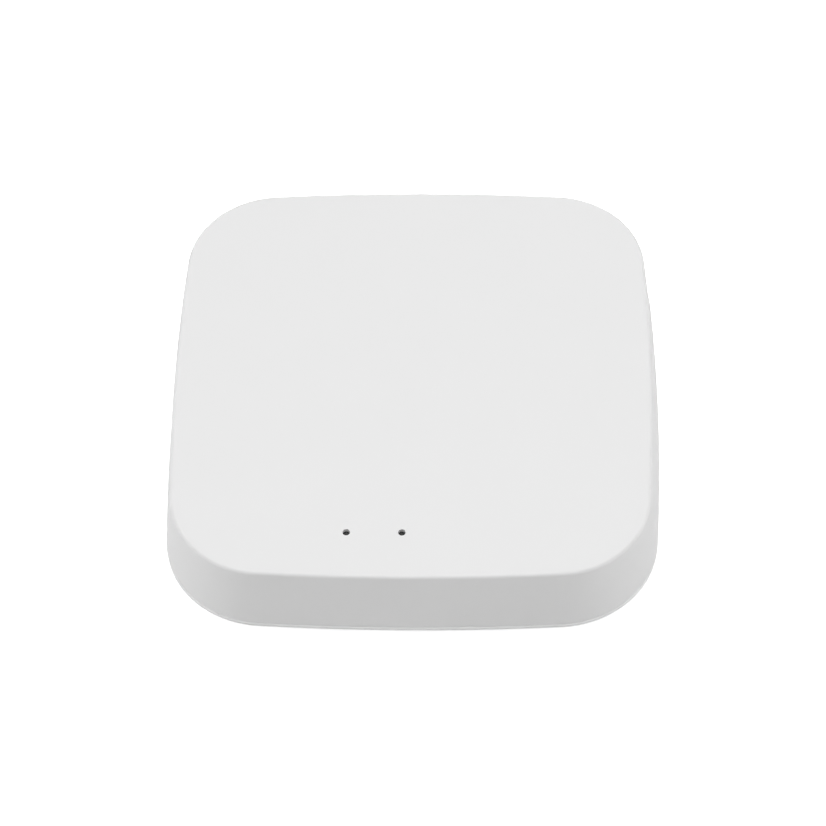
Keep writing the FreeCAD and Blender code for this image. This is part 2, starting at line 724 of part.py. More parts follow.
def light_guide(name, x):
    """A clear rod that carries an indicator's light up to its hole."""
    body = new_body(name)
    length = "height - led_skin - guide_gap - guide_bottom"
    profile = [
        (0, 0),
        ("guide_foot_radius", 0),
        ("guide_foot_radius", "guide_foot_thick"),
        ("guide_radius", "guide_foot_thick"),
        ("guide_radius", length),
        (0, length),
    ]
    Drawing(body, "profile", "XZ").polygon(profile).revolve()
    place(body, x, "led_y", "guide_bottom")
    return node(name, body)


def light_shield():
    """A black silicone block that holds the guides and keeps each light to its own hole."""
    body = new_body("light_shield")
    bottom = f"{BOARD_TOP} + shield_slack"
    Drawing(body, "block", level=bottom).rectangle("led_x", "led_y", "shield_length", "shield_breadth").pad(
        f"{CEILING} - shield_slack - ({bottom})"
    )
    bores = Drawing(body, "bores", level=bottom)
    wells = Drawing(body, "wells", level=bottom)
    for x in LED_PLACES:
        bores.circle(x, "led_y", "guide_radius + guide_slack / 2")
        wells.circle(x, "led_y", "guide_foot_radius + guide_slack / 2")
    bores.pocket("height")
    wells.pocket(f"guide_bottom + guide_foot_thick + guide_slack / 2 - ({bottom})")
    return node("light_shield", body)


def socket_outline(drawing, inset, level=0):
    """The socket's section: flat top, upright sides, slanting lower corners."""
    half, narrow = f"(usb_width / 2 - {inset})", f"(usb_narrow / 2 - {inset} / 2)"
    low, high = f"({level} + {inset})", f"({level} + usb_tall - {inset})"
    bevel = f"({level} + usb_bevel)"
    right = [(narrow, low), (half, bevel), (half, high)]
    left = [(f"-{x}", y) for x, y in reversed(right)]
    return drawing.polygon(right + left)


def usb_shell():
    """The socket's folded steel shell, with latch windows and solder legs."""
    body = new_body("usb_shell")
    back = "usb_mouth - usb_length"
    socket_outline(Drawing(body, "outside", "XZ", back), "0").pad("usb_length")
    socket_outline(Drawing(body, "inside", "XZ", back), "usb_metal").pocket("usb_length")
    windows = Drawing(body, "latch_windows", level="usb_tall - 2 * usb_metal")
    legs = Drawing(body, "legs", level="usb_bevel")
    for side in (-1, 1):
        spot = f"{side} * usb_width / 5", "usb_mouth - usb_length / 3"
        windows.rectangle(*spot, "2 * leg_slot_width", "leg_length")
        for row in (0, 1):
            spot = f"{side} * (usb_width - usb_metal) / 2", f"usb_mouth - leg_front - {row} * leg_step"
            legs.rectangle(*spot, "usb_metal", "leg_length")
    windows.pocket("3 * usb_metal")
    legs.pad("usb_bevel + leg_depth", False)
    place(body, z=BOARD_TOP)
    return node("usb_shell", body)


def usb_insulator():
    """The black block at the back of the socket and the tongue that the contacts lie on."""
    body = new_body("usb_insulator")
    back = "usb_mouth - usb_length"
    socket_outline(Drawing(body, "block", "XZ", back), "(usb_metal + usb_slack)").pad("usb_block")
    tongue = Drawing(body, "tongue", "XZ", f"{back} + usb_block / 2")
    tongue.rectangle(0, "tongue_low + tongue_thick / 2", "tongue_width", "tongue_thick")
    tongue.pad("usb_length - usb_block / 2 - tongue_back")
    ease(body, "Chamfer", "usb_metal / 2", level_edges("usb_mouth - tongue_back", "Y"))
    place(body, z=BOARD_TOP)
    return node("usb_insulator", body)


def usb_contacts():
    """Five gold contacts under the tongue, and their solder tails behind the shell."""
    strips = []
    rows = {
        "contact": ("contact_length", "usb_mouth - tongue_back - contact_back", "tongue_low - contact_thick"),
        "tail": ("tail_length", "usb_mouth - usb_length", 0),
    }
    for kind, (length, front, rise) in rows.items():
        y, z = f"{front} - {length} / 2", f"{BOARD_TOP} + {rise}"
        for i in range(CONTACTS):
            x = f"{i - (CONTACTS - 1) / 2} * contact_pitch"
            strips.append(block(f"{kind}_{i}", "contact_width", length, "contact_thick", x, y, z))
    return node("usb_contacts", together("usb_contacts", strips))


# ---------------------------------------------------------------- pairing button and its switch


def button_cap():
    """The white pill-shaped cap, with a flange that keeps it in and a nub that meets the switch."""
    body = new_body("button_cap")
    back = "flange_front - flange_thick"
    Drawing(body, "flange", "XZ", back).rectangle(0, 0, "flange_width", "flange_tall").pad("flange_thick")
    cap = Drawing(body, "cap", "XZ", "flange_front").pill(0, 0, "button_width", "button_tall")
    cap.pad("button_end - flange_front")
    ease(body, "Chamfer", "button_ease", level_edges("button_end", "Y"))
    plunger_tip = "(switch_back + switch_depth + cover_thick + plunger_out)"
    nub = Drawing(body, "nub", "XZ", back).circle(0, 0, "nub_radius")
    nub.pad(f"{back} - {plunger_tip} - nub_gap", False)
    place(body, "button_x", 0, "button_level")
    return node("button_cap", body)


def switch_housing():
    """The switch's black housing, with a well that the plunger and spring leaf sit in."""
    body = new_body("switch_housing")
    low = f"{BOARD_TOP} - button_level"
    front = "switch_back + switch_depth"
    Drawing(body, "block", "XZ", "switch_back").rectangle(
        0, f"{low} + switch_tall / 2", "switch_width", "switch_tall"
    ).pad("switch_depth")
    well = Drawing(body, "well", "XZ", front).rectangle(0, 0, "well_width", "well_tall")
    well.pocket("well_depth", False)
    place(body, "button_x", 0, "button_level")
    return node("switch_housing", body)


def switch_cover():
    """The steel plate across the front of the housing, with a window for the plunger."""
    body = new_body("switch_cover")
    low = f"{BOARD_TOP} - button_level"
    plate = Drawing(body, "plate", "XZ", "switch_back + switch_depth")
    plate.rectangle(0, f"{low} + switch_tall / 2", "switch_width", "switch_tall")
    plate.rectangle(0, 0, "plunger_width + 2 * plunger_slack", "plunger_tall + 2 * plunger_slack")
    plate.pad("cover_thick")
    place(body, "button_x", 0, "button_level")
    return node("switch_cover", body)


def switch_plunger():
    """The plunger: a flange held behind the cover and a stem that stands out through it."""
    body = new_body("switch_plunger")
    face = "switch_back + switch_depth - plunger_slack / 2"
    flange = Drawing(body, "flange", "XZ", face)
    flange.rectangle(0, 0, "well_width - 4 * plunger_slack", "well_tall - 2 * plunger_slack")
    flange.pad("plunger_flange", False)
    stem = Drawing(body, "stem", "XZ", face).rectangle(0, 0, "plunger_width", "plunger_tall")
    stem.pad("plunger_slack / 2 + cover_thick + plunger_out")
    place(body, "button_x", 0, "button_level")
    return node("switch_plunger", body)


def switch_dome():
    """The bowed spring leaf behind the plunger, which pushes it back out."""
    floor = number("switch_back + switch_depth - well_depth + plunger_slack / 2")
    low, tall = number("-dome_tall / 2"), number("dome_tall")
    half, rise, thick = number("dome_span / 2"), number("dome_rise"), number("dome_thick")

    def arc(span, height):
        ends = Vector(-span, floor, low), Vector(span, floor, low)
        return Part.Arc(ends[0], Vector(0, floor + height, low), ends[1]).toShape()

    def foot(side):
        ends = (Vector(side * reach, floor, low) for reach in (half, half - thick))
        return Part.LineSegment(*ends).toShape()

    edges = [arc(half, rise), foot(1), arc(half - thick, rise - thick), foot(-1)]
    section = Part.Face(Part.Wire(Part.__sortEdges__(edges)))
    leaf = doc.addObject("Part::Feature", "switch_dome")
    leaf.Shape = section.extrude(Vector(0, 0, tall))
    place(leaf, "button_x", 0, "button_level")
    return node("switch_dome", leaf)


def switch_terminals():
    """Solder terminals at the housing's two ends."""
    pieces = []
    for side in (-1, 1):
        for row in (0, 1):
            x = f"button_x + {side} * (switch_width + terminal_length) / 2"
            y = f"switch_back + terminal_width + {row} * (switch_depth - 2 * terminal_width)"
            name = f"terminal_{side + 1}_{row}"
            sides = "terminal_length", "terminal_width", "terminal_thick"
            pieces.append(block(name, *sides, x, y, BOARD_TOP))
    return node("switch_terminals", together("switch_terminals", pieces))


# ---------------------------------------------------------------- radio modules


def stand_module(thing, left, level):
    """Puts a module's piece, drawn from its inner end outwards, on the left or the right of the board."""
    sign = -1 if left else 1
    place(thing, f"{sign} * module_inner", "module_y", level, 180 if left else 0)


def module_board(name, left):
    body = new_body(name)
    outline = Drawing(body, "outline").rectangle("module_length / 2", 0, "module_length", "module_breadth")
    outline.pad("module_thick")
    notches = Drawing(body, "notch")
    for side in (-1, 1):
        notches.circle("notch_first", f"{side} * module_breadth / 2", "notch_radius")
    notch = notches.pocket("module_thick")
    pattern = body.newObject("PartDesign::LinearPattern", f"{name}_notches")
    pattern.Originals = [notch]
    pattern.Direction = (notches.sketch, ["H_Axis"])
    pattern.Occurrences = NOTCHES
    bind(pattern, "Length", f"{NOTCHES - 1} * notch_pitch")
    body.Tip = pattern
    doc.recompute()
    stand_module(body, left, BOARD_TOP)
    return node(name, body)


def solder_joints(name, left):
    """The solder in each notch along a module's edges."""
    pegs = []
    for side in (-1, 1):
        for i in range(NOTCHES):
            peg = doc.addObject("Part::Cone", f"{name}_{side + 1}_{i}")
            bind(peg, "Radius1", "joint_radius")
            bind(peg, "Radius2", "joint_radius / 2")
            bind(peg, "Height", "joint_height")
            place(peg, f"notch_first + {i} * notch_pitch", f"{side} * module_breadth / 2")
            pegs.append(peg)
    group = together(name, pegs)
    stand_module(group, left, BOARD_TOP)
    return node(name, group)


def shield_can(name, left):
    """The tinned steel can over a module's chips, open underneath."""
    body = new_body(name)
    middle = "can_start + can_length / 2"
    Drawing(body, "outside").rectangle(middle, 0, "can_length", "can_breadth").pad("can_tall")
    ease(body, "Fillet", "can_round", edges_along("Z"))
    hollow_out(body, "can_metal", 0)
    stand_module(body, left, f"{BOARD_TOP} + module_thick")
    return node(name, body)


def radio_chip(name, left):
    sign = -1 if left else 1
    middle = f"{sign} * (module_inner + can_start + can_length / 2)"
    level = f"{BOARD_TOP} + module_thick"
    return node(name, block(name, "radio_chip", "radio_chip", "radio_chip_tall", middle, "module_y", level))


def aerial(name, left):
    """The module's printed aerial: a copper track that folds back and forth."""
    strips = []
    for i in range(AERIAL_LEGS):
        x = f"meander_start + {i} * meander_pitch"
        strips.append(block(f"{name}_leg_{i}", "track", "meander_reach", "track_thick", x, 0, 0))
        if i:
            middle = f"{x} - meander_pitch / 2", f"{(-1) ** i} * (meander_reach - track) / 2"
            sides = "meander_pitch + track", "track", "track_thick"
            strips.append(block(f"{name}_link_{i}", *sides, *middle, 0))
    whole = doc.addObject("Part::MultiFuse", name)
    whole.Shapes = strips
    whole.Refine = True
    stand_module(whole, left, f"{BOARD_TOP} + module_thick")
    return node(name, whole)


# ---------------------------------------------------------------- small parts on the board


def fitted(name, *endings):
    """The cells that hold a fitted part's sizes or place."""
    return [f"{name}_{ending}" for ending in endings]


def moulded(name, x, y, length, breadth, tall):
    """A moulded package: its sides lean in above and below the line where its leads leave."""
    body = new_body(name)
    for part, rise, upward in (
        ("upper", f"{tall} - lead_rise", True),
        ("lower", "lead_rise - lead_thick", False),
    ):
        half = Drawing(body, part, level="lead_rise").rectangle(0, 0, length, breadth)
        half.pad(rise, upward, taper="-mould_draft")
    place(body, x, y, BOARD_TOP)
    return body


def gull_lead(name, x, y, outward, rise="lead_rise"):
    """A bent lead that leaves a package's side at (x, y) and steps down to the board, along +Y or -Y."""
    body = new_body(name)
    half = "lead_thick / 2"
    profile = [
        (0, f"{rise} - {half}"),
        ("lead_reach - lead_foot - lead_thick", f"{rise} - {half}"),
        ("lead_reach - lead_foot - lead_thick", 0),
        ("lead_reach", 0),
        ("lead_reach", "lead_thick"),
        ("lead_reach - lead_foot", "lead_thick"),
        ("lead_reach - lead_foot", f"{rise} + {half}"),
        (0, f"{rise} + {half}"),
    ]
    Drawing(body, "profile", "YZ", "-lead_width / 2").polygon(profile).pad("lead_width")
    place(body, x, y, BOARD_TOP, 0 if outward > 0 else 180)
    return body


def leads(label, spots):
    """A group of bent leads: each spot is (x, y, which way)."""
    return node(label, together(label, [gull_lead(f"{label}_{i}", *spot) for i, spot in enumerate(spots)]))


def regulator():
    sizes = fitted("regulator", "x", "y", "length", "breadth", "tall")
    node("regulator_body", moulded("regulator_body", *sizes))
    front, back = "regulator_y - regulator_breadth / 2", "regulator_y + regulator_breadth / 2"
    spots = [(f"regulator_x + {i} * regulator_length * 0.35", front, -1) for i in (-1, 0, 1)]
    bent = [gull_lead(f"regulator_lead_{i}", *spot) for i, spot in enumerate(spots)]
    middle = "regulator_x", f"{back} + lead_reach / 2"
    tab = block("regulator_tab", "regulator_length / 2", "lead_reach", "lead_thick", *middle, BOARD_TOP)
    node("regulator_leads", together("regulator_leads", [*bent, tab]))


def memory_chip():
    sizes = fitted("memory_chip", "x", "y", "length", "breadth", "tall")
    node("memory_chip_body", moulded("memory_chip_body", *sizes))
    spots = []
    for side in (-1, 1):
        for i in range(4):
            x = f"memory_chip_x + {i - 1.5} * memory_chip_length / 4"
            spots.append((x, f"memory_chip_y + {side} * memory_chip_breadth / 2", side))
    leads("memory_chip_leads", spots)


def transistors():
    bodies, spots = [], []
    for i, (x, y) in enumerate(TRANSISTOR_SPOTS):
        bodies.append(
            moulded(f"transistor_{i}", x, y, "transistor_length", "transistor_breadth", "transistor_tall")
        )
        for step in (-1, 1):
            spots.append((f"{x} + {step} * transistor_length / 3", f"{y} - transistor_breadth / 2", -1))
        spots.append((x, f"{y} + transistor_breadth / 2", 1))
    node("transistor_bodies", together("transistor_bodies", bodies))
    leads("transistor_leads", spots)


def electrolytic_capacitors():
    """Two aluminium cans with a pressed groove, each on a plastic base."""
    cans, bases = [], []
    for i, (x, y) in enumerate(CAPACITOR_SPOTS):
        can = new_body(f"capacitor_can_{i}")
        top = "can_cap_tall - can_cap_base"
        neck = "can_cap_neck"
        profile = [
            (0, 0),
            ("can_cap_radius", 0),
            ("can_cap_radius", f"2 * {neck}"),
            (f"can_cap_radius - {neck}", f"3 * {neck}"),
            (f"can_cap_radius - {neck}", f"4 * {neck}"),
            ("can_cap_radius", f"5 * {neck}"),
            ("can_cap_radius", f"{top} - {neck}"),
            (f"can_cap_radius - {neck}", top),
            (0, top),
        ]
        Drawing(can, "profile", "XZ").polygon(profile).revolve()
        place(can, x, y, f"{BOARD_TOP} + can_cap_base")
        cans.append(can)
        base = new_body(f"capacitor_base_{i}")
        half, cut = "can_cap_side / 2", "can_cap_side / 2 - can_cap_base"
        left, low = f"-({half})", f"-({cut})"
        outline = [(left, left), (cut, left), (half, low), (half, cut), (cut, half), (left, half)]
        Drawing(base, "outline").polygon(outline).pad("can_cap_base")
        place(base, x, y, BOARD_TOP)
        bases.append(base)
    node("capacitor_cans", together("capacitor_cans", cans))
    node("capacitor_bases", together("capacitor_bases", bases))


def chip_passives(kind, spots, tall):
    """Chip capacitors or resistors: a ceramic middle between two soldered ends."""
    middles, ends = [], []
    for i, (x, y) in enumerate(spots):
        upright = "passive_breadth", tall
        middles.append(block(f"{kind}_{i}", "passive_length - 2 * passive_end", *upright, x, y, BOARD_TOP))
        for side in (-1, 1):
            at = f"{x} + {side} * (passive_length - passive_end) / 2"
            ends.append(block(f"{kind}_{i}_end_{side + 1}", "passive_end", *upright, at, y, BOARD_TOP))
    node(f"{kind}_chips", together(f"{kind}_chips", middles))
    node(f"{kind}_ends", together(f"{kind}_ends", ends))


def input_fuse():
    """A resettable fuse: a flat polymer slab between two soldered ends."""
    x, y, length, breadth, tall = fitted("fuse", "x", "y", "length", "breadth", "tall")
    slab = block("fuse_slab", f"{length} - 2 * fuse_end", breadth, tall, x, y, BOARD_TOP)
    ends = []
    for side in (-1, 1):
        at = f"{x} + {side} * ({length} - fuse_end) / 2"
        ends.append(block(f"fuse_end_{side + 1}", "fuse_end", breadth, f"{tall} * 0.9", at, y, BOARD_TOP))
    node("input_fuse", slab)
    node("input_fuse_ends", together("input_fuse_ends", ends))


def surge_diode():
    """A moulded diode across the supply, with a folded terminal under each end."""
    x, y, length, breadth, tall = fitted("surge_diode", "x", "y", "length", "breadth", "tall")
    node("surge_diode", moulded("surge_diode", x, y, length, breadth, tall))
    ends = []
    for side in (-1, 1):
        at = f"{x} + {side} * ({length} / 2 + lead_thick)"
        half = "lead_thick", f"{breadth} / 2"
        ends.append(block(f"diode_end_{side + 1}", *half, "lead_rise", at, y, BOARD_TOP))
    node("surge_diode_ends", together("surge_diode_ends", ends))


def inductor():
    """A shielded power inductor: an eased ferrite block with a round winding window in its top."""
    body = new_body("power_inductor")
    Drawing(body, "block").rectangle(0, 0, "inductor_length", "inductor_breadth").pad("inductor_tall")
    ease(body, "Chamfer", "inductor_length / 8", edges_along("Z"))
    groove = Drawing(body, "groove", level="inductor_tall")
    groove.circle(0, 0, "inductor_window").circle(0, 0, "inductor_window - inductor_groove")
    groove.pocket("inductor_groove", False)
    place(body, "inductor_x", "inductor_y", BOARD_TOP)
    return node("power_inductor", body)


def crystal():
    """A ceramic crystal package with a metal lid."""
    x, y, length, breadth, tall = fitted("crystal", "x", "y", "length", "breadth", "tall")
    node("crystal_base", block("crystal_base", length, breadth, f"{tall} - crystal_lid", x, y, BOARD_TOP))
    sides = f"{length} - 2 * crystal_ledge", f"{breadth} - 2 * crystal_ledge"
    level = f"{BOARD_TOP} + {tall} - crystal_lid"
    node("crystal_lid", block("crystal_lid", *sides, "crystal_lid", x, y, level))


# ---------------------------------------------------------------- the whole hub


def build():
    top_shell()
    base_cover()
    for name, side, end in CORNERS:
        rubber_foot(f"foot_{name}", side, end)
    rating_label()
    case_screws()
    main_board()
    for name, x in zip(LED_NAMES, LED_PLACES):
        indicator(f"{name}_led", x)
        light_guide(f"{name}_light_guide", x)
    light_shield()
    usb_shell()
    usb_insulator()
    usb_contacts()
    button_cap()
    switch_housing()
    switch_cover()
    switch_plunger()
    switch_dome()
    switch_terminals()
    for radio, left in (("wifi", True), ("mesh_radio", False)):
        module_board(f"{radio}_module_board", left)
        solder_joints(f"{radio}_solder_joints", left)
        shield_can(f"{radio}_shield_can", left)
        radio_chip(f"{radio}_chip", left)
        aerial(f"{radio}_aerial", left)
    regulator()
    memory_chip()
    transistors()
    electrolytic_capacitors()
    chip_passives("ceramic_capacitor", CERAMIC_SPOTS, "ceramic_tall")
    chip_passives("resistor", RESISTOR_SPOTS, "resistor_tall")
    inductor()
    crystal()
    input_fuse()
    surge_diode()
    doc.recompute()


def export():
    """Checks every object, then writes one STEP file for each node."""
    for thing in doc.Objects:
        if "Invalid" in thing.State or "Error" in thing.State:
            raise ValueError(f"{thing.Label} did not compute: {thing.State}")
    for label, thing in made.items():
        if thing.Shape.isNull() or not thing.Shape.isValid() or not thing.Shape.Solids:
            raise ValueError(f"{label} has no valid solid")
    os.makedirs("parts", exist_ok=True)
    for label, thing in made.items():
        thing.Shape.exportStep(f"parts/{label}.step")


build()
export()
print(len(made), "nodes")
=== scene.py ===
import math

import bpy
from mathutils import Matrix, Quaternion, Vector


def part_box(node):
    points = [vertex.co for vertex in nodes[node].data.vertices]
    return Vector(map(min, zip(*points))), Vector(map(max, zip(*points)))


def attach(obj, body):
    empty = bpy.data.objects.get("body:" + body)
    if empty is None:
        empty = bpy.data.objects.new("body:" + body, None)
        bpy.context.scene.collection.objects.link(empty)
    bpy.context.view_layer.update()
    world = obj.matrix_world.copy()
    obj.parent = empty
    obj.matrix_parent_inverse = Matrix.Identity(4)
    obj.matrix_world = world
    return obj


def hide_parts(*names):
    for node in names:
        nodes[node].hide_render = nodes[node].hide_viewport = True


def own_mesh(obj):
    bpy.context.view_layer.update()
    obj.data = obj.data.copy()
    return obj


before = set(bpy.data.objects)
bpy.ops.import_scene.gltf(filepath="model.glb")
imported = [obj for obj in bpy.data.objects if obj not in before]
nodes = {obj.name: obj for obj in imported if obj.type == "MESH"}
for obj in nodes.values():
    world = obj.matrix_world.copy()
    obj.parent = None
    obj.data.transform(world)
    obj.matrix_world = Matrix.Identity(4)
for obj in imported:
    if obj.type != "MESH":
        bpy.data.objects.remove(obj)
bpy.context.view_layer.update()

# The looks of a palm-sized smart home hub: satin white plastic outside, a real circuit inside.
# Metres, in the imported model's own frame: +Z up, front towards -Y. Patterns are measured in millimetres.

MM = 0.001
scene = bpy.context.scene

# Camera
AZIMUTH = math.radians(3.09)  # the camera stands a little to the right of the front
ELEVATION = math.radians(54.21)
ROLL = math.radians(-2.4)
FOCAL_LENGTH = 133.5  # millimetres, on a 36 mm sensor
DISTANCE = 386.2 * MM
AIM = Vector((-0.085, -1.333, 6.094)) * MM

# Studio
SOFTBOXES = {  # name -> (place, width, height, watts); each faces the hub
    "overhead_softbox": ((0.0, 0.0, 1.0), 1.0, 1.0, 3.3),
    "front_softbox": ((0.0, -0.35, 0.95), 0.6, 0.6, 5.05),
    "rear_softbox": ((0.0, 0.6, 0.85), 0.8, 0.6, 2.25),
    "rear_strip": ((0.0, 1.0, 0.25), 0.8, 0.35, 3.3),
    "left_strip": ((-1.0, 0.0, 0.25), 0.6, 0.35, 3.65),
    "right_strip": ((1.0, 0.0, 0.25), 0.6, 0.35, 2.25),
    "right_softbox": ((0.8, 0.0, 0.6), 0.6, 0.6, 1.1),
}
FLOOR_REACH = 1.0  # the floor ends under the strips, because beyond them it would be unlit
FLOOR_GLOW = 0.7  # whitens the floor for the camera only, without lighting the hub

# Details drawn by the materials, in millimetres
TREAD_PITCH = 0.9  # between the rings under a foot
SCREW_HEAD_RADIUS = 1.8
RULE_SPACING = 3.1  # between the label's ruled lines
LED_BASE = 0.35  # height of the ceramic under an indicator's lens
PIN_ONE_INSET = 0.9  # dimple to the chip's edges
MINUS_MARK = 1.35  # middle of a capacitor's lid to its dark mark
INDUCTOR_WINDOW = 1.5  # radius of the round resin window

# Colours, as linear red, green and blue
WHITE_PLASTIC = (0.750, 0.750, 0.750)
MASK_GREEN = (0.012, 0.085, 0.035)
MASK_BLUE = (0.010, 0.028, 0.100)
LAMINATE = (0.42, 0.36, 0.20)
INK_WHITE = (0.70, 0.71, 0.68)
TIN = (0.74, 0.73, 0.71)
NICKEL = (0.66, 0.64, 0.60)
GOLD = (0.90, 0.62, 0.24)
COPPER = (0.80, 0.38, 0.19)
EPOXY = (0.018, 0.018, 0.019)


def grey(level):
    return (level, level, level)


# ---------------------------------------------------------------- building materials


class Finish:
    """A node material. Its patterns are measured in millimetres in the hub's own frame."""

    def __init__(self, name):
        self.material = bpy.data.materials.new(name)
        self.material.use_nodes = True
        self.tree = self.material.node_tree
        self.shader = self.tree.nodes["Principled BSDF"]
        where = self.add("ShaderNodeTexCoord").outputs
        scale = {0: where["Object"], 1: (1 / MM,) * 3}
        self.place = self.add("ShaderNodeVectorMath", scale, operation="MULTIPLY").outputs[0]
        self.x, self.y, self.z = self.split(self.place)
        self.facing = self.split(where["Normal"])
        self.surface = None

    def add(self, kind, values=None, **settings):
        """A new node, with its settings made and its inputs given numbers or joined to other nodes."""
        node = self.tree.nodes.new(kind)
        for name, setting in settings.items():
            setattr(node, name, setting)
        for socket, value in (values or {}).items():
            if isinstance(value, bpy.types.NodeSocket):
                self.tree.links.new(value, node.inputs[socket])
            else:
                node.inputs[socket].default_value = value
        return node

    def split(self, vector):
        return list(self.add("ShaderNodeSeparateXYZ", {0: vector}).outputs)

    def join(self, x, y, z):
        return self.add("ShaderNodeCombineXYZ", {0: x, 1: y, 2: z}).outputs[0]

    def calc(self, operation, a, b=0.0):
        """One step of arithmetic on two numbers or patterns."""
        return self.add("ShaderNodeMath", {0: a, 1: b}, operation=operation).outputs[0]

    def step(self, value, low, high, start=0.0, end=1.0):
        """start where value is at or under low, end where it is at or over high, smooth between."""
        inputs = {"Value": value, "From Min": low, "From Max": high, "To Min": start, "To Max": end}
        return self.add("ShaderNodeMapRange", inputs, interpolation_type="SMOOTHSTEP").outputs[0]

    def spread(self, value, low, high):
        """A pattern from 0 to 1, moved to the range from low to high."""
        return self.add("ShaderNodeMapRange", {"Value": value, "To Min": low, "To Max": high}).outputs[0]

    def stretched(self, stretch):
        """The place, with each axis shortened by so many times, so that patterns run along it."""
        factors = tuple(1 / s for s in stretch)
        inputs = {0: self.place, 1: factors}
        return self.add("ShaderNodeVectorMath", inputs, operation="MULTIPLY").outputs[0]

    def noise(self, size, detail=2.0, stretch=(1, 1, 1)):
        """Soft mottling from 0 to 1, with blotches of this size."""
        inputs = {"Vector": self.stretched(stretch), "Scale": 1 / size, "Detail": detail}
        return self.add("ShaderNodeTexNoise", inputs).outputs[0]

    def cells(self, size, metric="EUCLIDEAN", place=None, scatter=1.0):
        """(distance in millimetres, random colour) of cells of this size."""
        inputs = {"Vector": place or self.place, "Scale": 1 / size, "Randomness": scatter}
        node = self.add("ShaderNodeTexVoronoi", inputs, distance=metric)
        return self.calc("MULTIPLY", node.outputs["Distance"], size), node.outputs["Color"]

    def mix(self, share, a, b):
        """Colour a where share is 0 and colour b where it is 1."""
        node = self.add("ShaderNodeMix", {0: share}, data_type="RGBA")
        for socket, colour in ((node.inputs[6], a), (node.inputs[7], b)):
            if isinstance(colour, bpy.types.NodeSocket):
                self.tree.links.new(colour, socket)
            else:
                socket.default_value = (*colour, 1.0)
        return node.outputs[2]

    def shade(self, colour, pattern, amount):
        """The colour, made lighter and darker by up to this share where the pattern goes from 0 to 1."""
        dark, light = ([channel * (1 + side * amount) for channel in colour] for side in (-1, 1))
        return self.mix(pattern, dark, light)

    def relief(self, height, depth):
        """Raises the surface by depth millimetres where height is 1."""
        inputs = {"Height": height, "Distance": depth * MM, "Strength": 1.0}
        if self.surface:
            inputs["Normal"] = self.surface
        self.surface = self.add("ShaderNodeBump", inputs).outputs[0]

    def done(self, colour, roughness, metallic=0.0, **others):
        """Sets the shader and gives back the material."""
        values = {"Base Color": colour, "Roughness": roughness, "Metallic": metallic}
        values.update({name.replace("_", " "): value for name, value in others.items()})
        if self.surface:
            values["Normal"] = self.surface
        for name, value in values.items():
            if isinstance(value, bpy.types.NodeSocket):
                self.tree.links.new(value, self.shader.inputs[name])
            elif name == "Base Color":
                self.shader.inputs[name].default_value = (*value, 1.0)
            else:
                self.shader.inputs[name].default_value = value
        return self.material

    def near_axis(self, centres):
        """Distance in millimetres from the nearest of some upright axes."""
        nearest = None
        for x, y in centres:
            across = self.calc("SUBTRACT", self.x, x)
            along = self.calc("SUBTRACT", self.y, y)
            across = self.calc("MULTIPLY", across, across)
            along = self.calc("MULTIPLY", along, along)
            away = self.calc("SQRT", self.calc("ADD", across, along))
            nearest = self.calc("MINIMUM", nearest, away) if nearest else away
        return nearest

    def outside_box(self, low, high):
        """Distance in millimetres outside an upright rectangle, negative inside it."""
        across = self.calc("ABSOLUTE", self.calc("SUBTRACT", self.x, (low.x + high.x) / 2))
        along = self.calc("ABSOLUTE", self.calc("SUBTRACT", self.y, (low.y + high.y) / 2))
        across = self.calc("SUBTRACT", across, (high.x - low.x) / 2)
        along = self.calc("SUBTRACT", along, (high.y - low.y) / 2)
        return self.calc("MAXIMUM", across, along)


def box_mm(name):
    """A CAD node's corners in millimetres."""
    low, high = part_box(name)
    return low / MM, high / MM


def middle_of(name):
    """The x and y of a CAD node's middle, in millimetres."""
    low, high = box_mm(name)
    return (low.x + high.x) / 2, (low.y + high.y) / 2


def wear(*names):
    """Says which CAD nodes wear the material that a function makes."""

    def given(make):
        material = make()
        for name in names:
            nodes[name].data.materials.clear()
            nodes[name].data.materials.append(material)
        return material

    return given


# ---------------------------------------------------------------- casing


def white_plastic(name, tone=1.0, polish=0.0):
    """Satin white ABS from a spark-eroded mould: hardly any colour change, and a very fine grain."""
    f = Finish(name)
    cloud = f.noise(9.0, 3.0)
    grain = f.noise(0.16, 2.0)
    base = [channel * tone for channel in WHITE_PLASTIC]
    colour = f.shade(base, cloud, 0.008)
    f.relief(grain, 0.0012)
    f.relief(f.noise(4.0, 1.0), 0.0015)
    roughness = f.calc("ADD", f.spread(grain, 0.41, 0.49), -polish)
    return f.done(colour, roughness)


@wear("top_shell")
def shell_plastic():
    return white_plastic("white_shell")


@wear("base_cover")
def base_plastic():
    return white_plastic("white_base", tone=1.07, polish=-0.03)


@wear("button_cap")
def button_plastic():
    return white_plastic("white_button", tone=1.01, polish=0.08)


@wear("foot_front_left", "foot_front_right", "foot_rear_left", "foot_rear_right")
def foot_rubber():
    """Grey silicone rubber: a moulded ring in its tread, a matt skin and a little dust."""
    f = Finish("foot_rubber")
    feet = [name for name in nodes if name.startswith("foot_")]
    away = f.near_axis([middle_of(foot) for foot in feet])
    ring = f.calc("SINE", f.calc("MULTIPLY", away, 2 * math.pi / TREAD_PITCH))
    tread = f.calc("MULTIPLY", f.spread(ring, 0.5, 1.0), f.step(f.facing[2], -0.9, -0.99))
    f.relief(tread, 0.03)
    f.relief(f.noise(0.12, 3.0), 0.006)
    dust = f.step(f.noise(0.35, 4.0), 0.60, 0.75)
    colour = f.mix(dust, f.shade(grey(0.30), f.noise(2.0, 3.0), 0.10), grey(0.42))
    return f.done(colour, f.spread(f.noise(0.3), 0.72, 0.88), Specular_IOR_Level=0.3)


